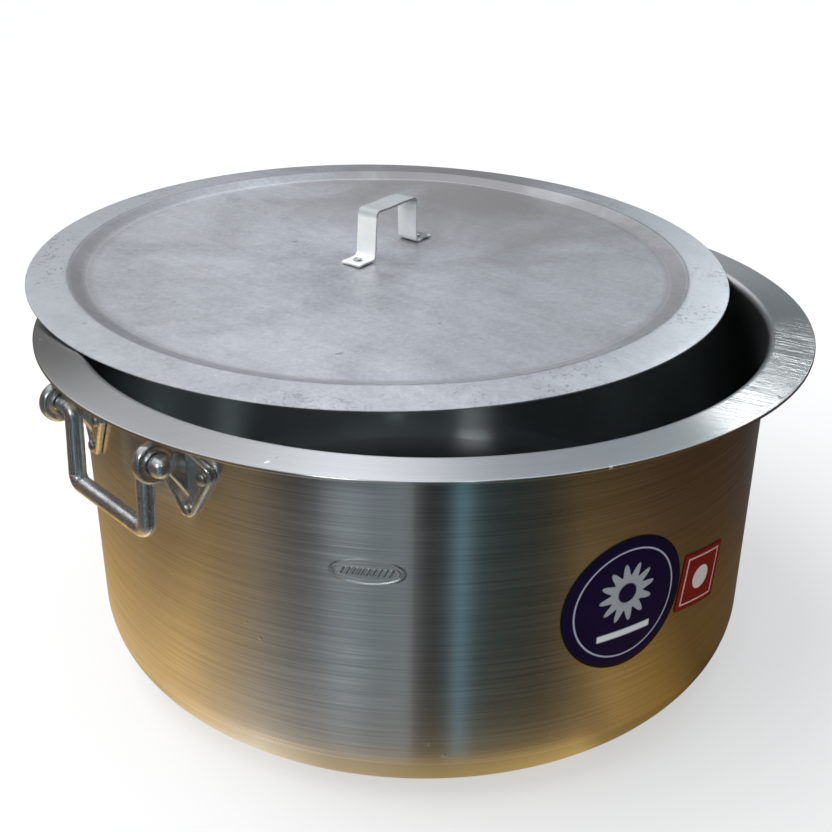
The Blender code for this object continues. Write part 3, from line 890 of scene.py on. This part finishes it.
def buildLug(name, node, turn, side, seed):
    swing = turned(turn, "Z")
    front = pot["wall"] + lug["gap"] + lug["thickness"]
    plateFrame = swing @ wallFrame(side * math.asin(lug["spacing"] / front))
    eyePlane = swing @ Matrix.Translation((0, side * lug["spacing"], 0))
    eyeSeat = eyePlane @ Matrix.Translation((lug["pivot"][0], 0, lug["pivot"][1])) @ turned(90, "X")
    shells = [
        shell(moved(plateGrid(front), plateFrame)),
        shell(moved(webGrid(), eyePlane)),
        shell(moved(eyeGrid(), eyeSeat), loop=True),
    ]
    piece = makePiece(name, shells, lugMetal, "pot", "lug_metal", node)
    melt = piece.modifiers.new("melt", "REMESH")
    melt.mode = "VOXEL"
    melt.voxel_size = lug["voxel"]
    melt.use_smooth_shade = True
    soft = piece.modifiers.new("soft", "SMOOTH")
    soft.factor, soft.iterations = lug["soft"]
    grip = lug["thickness"] + pot["sheet"] + 2 * lug["gap"] + 2 * lug["border"]
    for number, (word, (along, below)) in enumerate(rivetPlaces.items()):
        seat = (side * along, pot["height"] - below, front - lug["border"] + lug["gap"])
        made = [rivetShell(lugRivet, grip, plateFrame @ Matrix.Translation(seat), seed + number)]
        makePiece(f"{name}Rivet_{word}", made, rivetMetal, "pot", "rivet_metal", f"{node}_rivet_{word}")


for hand, turn in (("right", 0), ("left", 180)):
    for end, side in (("front", -1), ("back", 1)):
        facing = side if hand == "right" else -side
        buildLug(f"{hand}Lug_{end}", f"{hand}_lug_{end}", turn, facing, 20 + 3 * side + turn)
print("lugs built")

# drop handles: a round bar bent down between the eyes, with a forged head on each end
bail = {
    "bar": 0.006,
    "legHalf": 0.0445,
    "legShift": 0.0035,
    "drop": 0.0527,
    "head": 0.0078,
    "headHalf": 0.0669,
    "crown": 0.06,  # radians from the tip to the head's first ring
    "neck": 0.0004,  # from the head to the first ring of the bar
    "bend": 0.0068,
    "swing": 3.2,  # degrees, as photographed
    "hammer": 0.00010,
    "dents": (12, 6, 0.012),  # seed, count, length
    "tones": ((0.64, 0.65, 0.68), (0.97, 0.98, 1.0)),
    "rough": (0.32, 0.17),
}
bailMetal = tumbledCasting("forgedBar", bail["tones"], bail["rough"])


def buildBail(name, node, direction):
    # the bar's line lies in the YZ plane; its radius swells as a ball at both ends
    bar, head, bend, drop = bail["bar"], bail["head"], bail["bend"], bail["drop"]
    t = np.linspace(math.pi - bail["crown"], math.asin(bar / head), 14)
    ball = np.stack([bail["headHalf"] - head * np.cos(t), head * np.sin(t)], 1)
    near, far = (direction * bail["legShift"] + side * bail["legHalf"] for side in (-1, 1))
    start = ball[-1, 0] - bail["neck"]
    legs = [(near, 0, bend), (near, -drop, bend), (far, -drop, bend), (far, 0, bend)]
    bends = [(-start, 0, 0), *legs, (start, 0, 0)]
    line = filledIn(roundedPath(bends, 14), 0.0025)
    radius = np.concatenate([ball[:, 1], np.full(len(line), bar), ball[::-1, 1]])[:, None]
    first = np.stack([-ball[:, 0], 0 * ball[:, 0]], 1)
    line = np.vstack([first, line, -first[::-1]])
    along = headings(line)
    t = fullTurn(36, 0)
    dents = waves(lengthsAlong(line)[:, None], bar * np.cos(t), *bail["dents"], bail["hammer"])
    radius = radius - np.abs(dents)
    grid = np.stack([
        radius * np.sin(t),
        line[:, :1] - along[:, 1:] * radius * np.cos(t),
        line[:, 1:] + along[:, :1] * radius * np.cos(t),
    ], -1)
    hinge = Matrix.Translation((direction * lug["pivot"][0], 0, lug["pivot"][1]))
    place = hinge @ turned(-direction * bail["swing"], "Y")
    makePiece(name, [shell(moved(grid, place))], bailMetal, node, "bail_metal", node)


buildBail("rightBail", "right_bail", 1)
buildBail("leftBail", "left_bail", -1)
print("drop handles built")

# stickers: thin sheets wrapped on the wall, with a plan map for their print in shares of their half size
label = {
    "gap": 0.0003,
    "sheet": 0.0004,
    "face": (0.02, 0.15, 0.3, 0.45, 0.6, 0.75, 0.9, 0.985),  # rings as shares of the outline
    "edge": (1.0, 0.6),  # share of the outline, share of the sheet
    "back": (1.0, 0.9, 0.5, 0.02),
    "grain": {"Size": 0.012, "Scuffs": 0.5},
    "film": {"Roughness": 0.40, "Coat_Weight": 0.03, "Coat_Roughness": 0.2, "Specular_IOR_Level": 0.08},
}
roundLabel = {
    "radius": 0.0489,
    "angle": math.radians(-102.55),
    "height": 0.1442,
    "turn": 0.0,
    "violet": (0.0058, 0.0017, 0.031),
    "ring": (0.82, 0.012, (0.36, 0.36, 0.46)),  # radius, half width, ink
    "centre": (0, 0.16, 0),
    "rays": (12.0, 0.36, 0.09, (0.30, 0.31, 0.34)),  # count, middle radius, swell, ink
    "core": 0.15,
    "bar": (-0.46, 0.05, 0.44, (0.62, 0.62, 0.66)),  # height, half height, half width, ink
    "rim": (0.965, (0.006, 0.006, 0.009)),
}
squareLabel = {
    "width": 0.0484,
    "tall": 0.0434,
    "angle": math.radians(-86.1),
    "height": 0.1349,
    "turn": math.radians(-9.0),
    "corner": 0.0012,
    "red": (0.205, 0.0065, 0.0035),
    "line": (0.80, 0.03, (0.56, 0.36, 0.32)),  # place, half width, ink
    "disc": (0.40, (0.60, 0.52, 0.50)),
}


def buildLabel(name, node, outline, spec, material, half):
    # the outline shrunk ring by ring on the face and back underneath; straight offsets become wall angles
    edge, lift = label["edge"]
    rings = np.array([*label["face"], edge, *label["back"]])[:, None, None]
    depth = np.repeat([1.0, lift, 0.0], [len(label["face"]), 1, len(label["back"])])[:, None] * label["sheet"]
    plan = rings * outline
    c, s = math.cos(spec["turn"]), math.sin(spec["turn"])
    across, up = plan[..., 0] * c - plan[..., 1] * s, plan[..., 0] * s + plan[..., 1] * c
    radius = pot["wall"] + label["gap"] + depth
    angle = spec["angle"] + np.arcsin(across / pot["wall"])
    grid = np.stack([radius * np.cos(angle), radius * np.sin(angle), spec["height"] + up], -1)
    piece = makePiece(name, [shell(grid)], material, "pot", f"{node}_ink", node)
    # print map: the flat plan as shares of the sticker's half size, the two hubs in the middle
    spots = np.vstack([plan.reshape(-1, 2), [[0, 0], [0, 0]]]) / half
    corner = np.empty(len(piece.data.loops), int)
    piece.data.loops.foreach_get("vertex_index", corner)
    printPlan = piece.data.uv_layers.new(name="printPlan")
    printPlan.data.foreach_set("uv", spots[corner].ravel())


def within(value, edge, soft=0.012):
    # 1 where value is under edge
    return remap(value, edge - soft, edge + soft, 1.0, 0.0)


def printedFilm(name, ground, drawing):
    # printed film: drawing(plan) lists (mask, ink) layers over the ground
    material, shader, here = newFinish(name, **label["film"])
    plan = addNode(treeOf(here), "UVMap", uv_map="printPlan").outputs[0]
    grain = placed(millCloud, here, **label["grain"])["Cloud"]
    colour = blend(remap(grain, 0.3, 0.7), [0.8 * c for c in ground], ground)
    for mask, ink in drawing(plan):
        colour = blend(mask, colour, ink)
    setInput(shader["Base Color"], colour)
    setNormal(shader, (grain, 0.0006, 0.12))
    return material


def rosette(plan):
    # a thin pale ring, a flower of twelve rays round a core, one plain bar and a black edge
    x, y, _ = axes(plan)
    out = measure("LENGTH", plan)
    place, half, ringInk = roundLabel["ring"]
    ring = within(sizeOf(minus(out, place)), half, 0.006)
    rays, middle, swell, rayInk = roundLabel["rays"]
    heading = calc("ARCTAN2", minus(y, roundLabel["centre"][1]), x)
    reach = plus(times(calc("SINE", times(heading, rays)), swell), middle)
    away = measure("DISTANCE", plan, roundLabel["centre"])
    flower = within(minus(away, reach), 0.0)
    core = within(away, roundLabel["core"])
    level, tall, wide, barInk = roundLabel["bar"]
    bar = times(within(sizeOf(minus(y, level)), tall), within(sizeOf(x), wide))
    rim, rimInk = roundLabel["rim"]
    edge = minus(1.0, within(out, rim))
    return [(ring, ringInk), (flower, rayInk), (core, roundLabel["violet"]), (bar, barInk), (edge, rimInk)]


def plainFrame(plan):
    # a pale square line and a disc
    x, y, _ = axes(plan)
    place, half, lineInk = squareLabel["line"]
    line = within(sizeOf(minus(calc("MAXIMUM", sizeOf(x), sizeOf(y)), place)), half)
    radius, discInk = squareLabel["disc"]
    return [(line, lineInk), (within(measure("LENGTH", plan), radius), discInk)]


t = fullTurn(96, 0)
disc = roundLabel["radius"] * np.stack([np.cos(t), np.sin(t)], -1)
w, h, bend = squareLabel["width"] / 2, squareLabel["tall"] / 2, squareLabel["corner"]
plate = [(-w, -h, bend), (w, -h, bend), (w, h, bend), (-w, h, bend)]
plate = evenly(roundedPath(plate, 5, closed=True), 120)
violetFilm = printedFilm("violetFilm", roundLabel["violet"], rosette)
redFilm = printedFilm("redFilm", squareLabel["red"], plainFrame)
buildLabel("roundSticker", "round_label", disc, roundLabel, violetFilm, roundLabel["radius"])
buildLabel("squareSticker", "square_label", plate, squareLabel, redFilm, np.array([w, h]))
print("stickers built")

# set: a pale floor under a wide soft sun; the metal sees a room, straw on the left and brown on the right
studio = {
    "floorSize": 40.0,
    "floorDrop": 0.0003,
    "pale": (0.90, 0.90, 0.90),
    "even": 0.6,  # share of the floor's look that takes no shadow
    "sun": 3.3,
    "sunTint": (1.0, 0.99, 0.97),
    "sunSpread": 70.0,  # degrees
    "sunPlace": (-2.0, 0.1, 2.3),
    "upper": (0.34, 0.56),  # sine of the height above level where the room's upper band comes in,
    "overhead": (0.70, 0.95),  # and where that passes into the zenith
    "zenith": (0.80, 0.86, 0.92),
    "beneath": (0.195, 0.215),  # metres from the axis: the floor right under the base is plain,
    "beneathTone": (0.50, 0.50, 0.51),
    "foot": (0.275, 0.34),  # the floor close to the pot gives way to the floor about it,
    "about": (0.34, 0.61),  # and that to the room
}
windows = {
    "windowRight": ((0.95, 1.75, 1.35), (0.2, 0, 0.27), (0.18, 0.22), 1.6, (0.95, 0.98, 1.0)),
    "windowLeft": ((-0.90, -2.1, 1.5), (0, 0, 0.2), (0.5, 0.7), 8, (0.95, 0.98, 1.0)),
    "windowFront": ((0.40, -1.82, 1.35), (0, 0, 0.2), (0.06, 0.2), 0.6, (0.80, 0.97, 1.0)),
}  # place, aim, size, power, tint
# bearing from the pot as a share of a turn, then a colour: 0 is left, 0.25 the front, 0.5 right, 0.75 behind
roomLevel = [
    (0.00, 0.055, 0.038, 0.034),
    (0.055, 0.030, 0.024, 0.027),
    (0.095, 0.12, 0.090, 0.060),
    (0.132, 0.016, 0.018, 0.019),
    (0.155, 0.016, 0.021, 0.023),
    (0.195, 0.078, 0.115, 0.137),
    (0.240, 0.215, 0.24, 0.25),
    (0.248, 0.013, 0.012, 0.011),
    (0.278, 0.013, 0.013, 0.013),
    (0.283, 0.14, 0.29, 0.36),
    (0.288, 0.13, 0.26, 0.32),
    (0.295, 0.022, 0.035, 0.037),
    (0.325, 0.020, 0.031, 0.030),
    (0.375, 0.020, 0.020, 0.016),
    (0.425, 0.036, 0.025, 0.017),
    (0.465, 0.054, 0.029, 0.019),
    (0.515, 0.035, 0.019, 0.012),
    (0.56, 0.050, 0.026, 0.016),
    (0.62, 0.05, 0.04, 0.035),
    (0.70, 0.115, 0.14, 0.15),
    (0.80, 0.09, 0.09, 0.09),
    (0.90, 0.12, 0.09, 0.06),
    (1.00, 0.055, 0.038, 0.034),
]
roomAbout = [  # the last number is how much of the floor shows
    (0.00, 0.68, 0.43, 0.14, 1.0),
    (0.06, 0.69, 0.44, 0.17, 1.0),
    (0.096, 0.90, 0.59, 0.215, 1.0),
    (0.131, 0.54, 0.39, 0.21, 0.95),
    (0.17, 0.34, 0.34, 0.33, 0.7),
    (0.208, 0.34, 0.40, 0.44, 0.45),
    (0.235, 0.20, 0.22, 0.23, 0.0),
    (0.31, 0.06, 0.05, 0.03, 0.0),
    (0.33, 0.12, 0.09, 0.045, 0.5),
    (0.361, 0.43, 0.26, 0.08, 1.0),
    (0.392, 0.33, 0.19, 0.04, 1.0),
    (0.428, 0.17, 0.095, 0.020, 1.0),
    (0.56, 0.08, 0.040, 0.010, 1.0),
    (0.75, 0.30, 0.22, 0.12, 1.0),
    (0.90, 0.60, 0.38, 0.14, 1.0),
    (1.00, 0.68, 0.43, 0.14, 1.0),
]
roomDown = [
    (0.00, 0.92, 0.64, 0.29),
    (0.06, 0.92, 0.64, 0.29),
    (0.096, 0.84, 0.58, 0.27),
    (0.131, 1.22, 0.86, 0.46),
    (0.17, 1.30, 1.05, 0.76),
    (0.208, 0.70, 0.50, 0.28),
    (0.26, 0.54, 0.36, 0.14),
    (0.33, 0.78, 0.50, 0.17),
    (0.343, 0.42, 0.26, 0.08),
    (0.361, 0.32, 0.20, 0.06),
    (0.392, 0.27, 0.15, 0.03),
    (0.428, 0.07, 0.035, 0.007),
    (0.56, 0.10, 0.05, 0.012),
    (0.75, 0.55, 0.40, 0.22),
    (1.00, 0.92, 0.64, 0.29),
]
roomUp = [
    (0.00, 0.42, 0.42, 0.43),
    (0.08, 0.44, 0.44, 0.46),
    (0.15, 0.20, 0.20, 0.21),
    (0.25, 0.18, 0.185, 0.19),
    (0.50, 0.18, 0.18, 0.18),
    (0.61, 0.22, 0.24, 0.25),
    (0.655, 1.05, 1.20, 1.26),
    (0.68, 0.60, 0.66, 0.70),
    (0.705, 0.27, 0.30, 0.34),
    (0.733, 0.29, 0.32, 0.36),
    (0.748, 1.02, 1.06, 1.15),
    (0.762, 1.46, 1.50, 1.61),
    (0.780, 1.50, 1.54, 1.64),
    (0.789, 0.50, 0.51, 0.53),
    (0.806, 0.45, 0.45, 0.46),
    (0.826, 0.98, 1.00, 1.05),
    (0.86, 1.20, 1.23, 1.30),
    (0.90, 0.95, 0.97, 1.01),
    (1.00, 0.42, 0.42, 0.43),
]


def bearingRamp(vector, stops):
    # colour and cover by the bearing of a direction or place, counted from the camera's left
    facing = mapped(vector, Rotation=(0, 0, -setTurn.to_euler().z))
    bearing = addNode(treeOf(vector), "TexGradient", {"Vector": facing}, gradient_type="RADIAL")
    ramp = addNode(treeOf(vector), "ValToRGB", {0: bearing.outputs["Fac"]})
    points = ramp.color_ramp.elements
    while len(points) < len(stops):
        points.new(0.5)
    for point, (at, *colour) in zip(points, stops):
        point.position = at
        point.color = (*colour, 1)[:4]
    return ramp.outputs


def mixShaders(factor, first, second):
    return addNode(treeOf(factor), "MixShader", {0: factor, 1: first, 2: second}).outputs[0]


def paleFloor():
    # plain for the camera and clear from below; in the metal it is a coloured patch, with the room beyond it
    material = bpy.data.materials.new("paleFloor")
    material.use_nodes = True
    tree = material.node_tree
    tree.nodes.clear()
    here = addNode(tree, "TexCoord").outputs["Object"]
    away = measure("LENGTH", here)
    foot = remap(away, *studio["foot"], 1.0, 0.0)
    about = remap(away, *studio["about"], 1.0, 0.0)
    tint, cover = bearingRamp(here, roomAbout)
    cover = calc("MAXIMUM", foot, times(cover, about))
    tint = blend(foot, tint, bearingRamp(here, roomDown)[0])
    tint = blend(remap(away, *studio["beneath"], 1.0, 0.0), tint, studio["beneathTone"])
    clear = addNode(tree, "BsdfTransparent").outputs[0]
    reflected = mixShaders(cover, clear, addNode(tree, "Emission", {"Color": tint}).outputs[0])
    matt = addNode(tree, "BsdfDiffuse", {"Color": (*studio["pale"], 1)}).outputs[0]
    glow = addNode(tree, "Emission", {"Color": (*studio["pale"], 1)}).outputs[0]
    path = addNode(tree, "LightPath").outputs
    plain = mixShaders(times(path["Is Camera Ray"], studio["even"]), matt, glow)
    above = mixShaders(path["Is Glossy Ray"], plain, reflected)
    under = addNode(tree, "NewGeometry").outputs["Backfacing"]
    addNode(tree, "OutputMaterial", {"Surface": mixShaders(under, above, clear)})
    return material


def buildFloor():
    half, z = studio["floorSize"] / 2, -studio["floorDrop"]
    mesh = bpy.data.meshes.new("floor")
    corners = [(-half, -half, z), (half, -half, z), (half, half, z), (-half, half, z)]
    mesh.from_pydata(corners, [], [(0, 1, 2, 3)])
    mesh.materials.append(paleFloor())
    floor = bpy.data.objects.new("floor", mesh)
    bpy.context.scene.collection.objects.link(floor)


def buildRoom():
    # colour by bearing, in bands by height; the camera itself sees a plain pale ground
    world = bpy.data.worlds.new("softRoom")
    bpy.context.scene.world = world
    world.use_nodes = True
    tree = world.node_tree
    here = addNode(tree, "TexCoord").outputs["Generated"]
    height = axes(here)[2]
    colour = bearingRamp(here, roomLevel)[0]
    colour = blend(remap(height, *studio["upper"]), colour, bearingRamp(here, roomUp)[0])
    colour = blend(remap(height, *studio["overhead"]), colour, studio["zenith"])
    colour = blend(addNode(tree, "LightPath").outputs["Is Camera Ray"], colour, (1.0, 1.0, 1.0))
    setInput(tree.nodes["Background"].inputs["Color"], colour)


def addLamp(name, kind, place, aim, power, tint):
    # a lamp at place that looks at aim, both in the camera's own bearings
    lamp = bpy.data.objects.new(name, bpy.data.lights.new(name, kind))
    lamp.data.energy = power
    lamp.data.color = tint
    start, target = setTurn @ Vector(place), setTurn @ Vector(aim)
    facing = (target - start).to_track_quat("-Z", "Y").to_matrix().to_4x4()
    lamp.matrix_world = Matrix.Translation(start) @ facing
    lamp.visible_camera = False
    bpy.context.scene.collection.objects.link(lamp)
    return lamp


buildFloor()
buildRoom()
sun = addLamp("softSun", "SUN", studio["sunPlace"], (0, 0, 0), studio["sun"], studio["sunTint"])
sun.data.angle = math.radians(studio["sunSpread"])
sun.visible_glossy = False  # lights the floor and the stickers, and leaves the metal to the room
for name, (place, aim, size, power, tint) in windows.items():
    window = addLamp(name, "AREA", place, aim, power, tint)  # also a highlight in polished metal
    window.data.shape = "RECTANGLE"
    window.data.size, window.data.size_y = size
bpy.context.scene.view_settings.view_transform = "Standard"
print("studio ready")
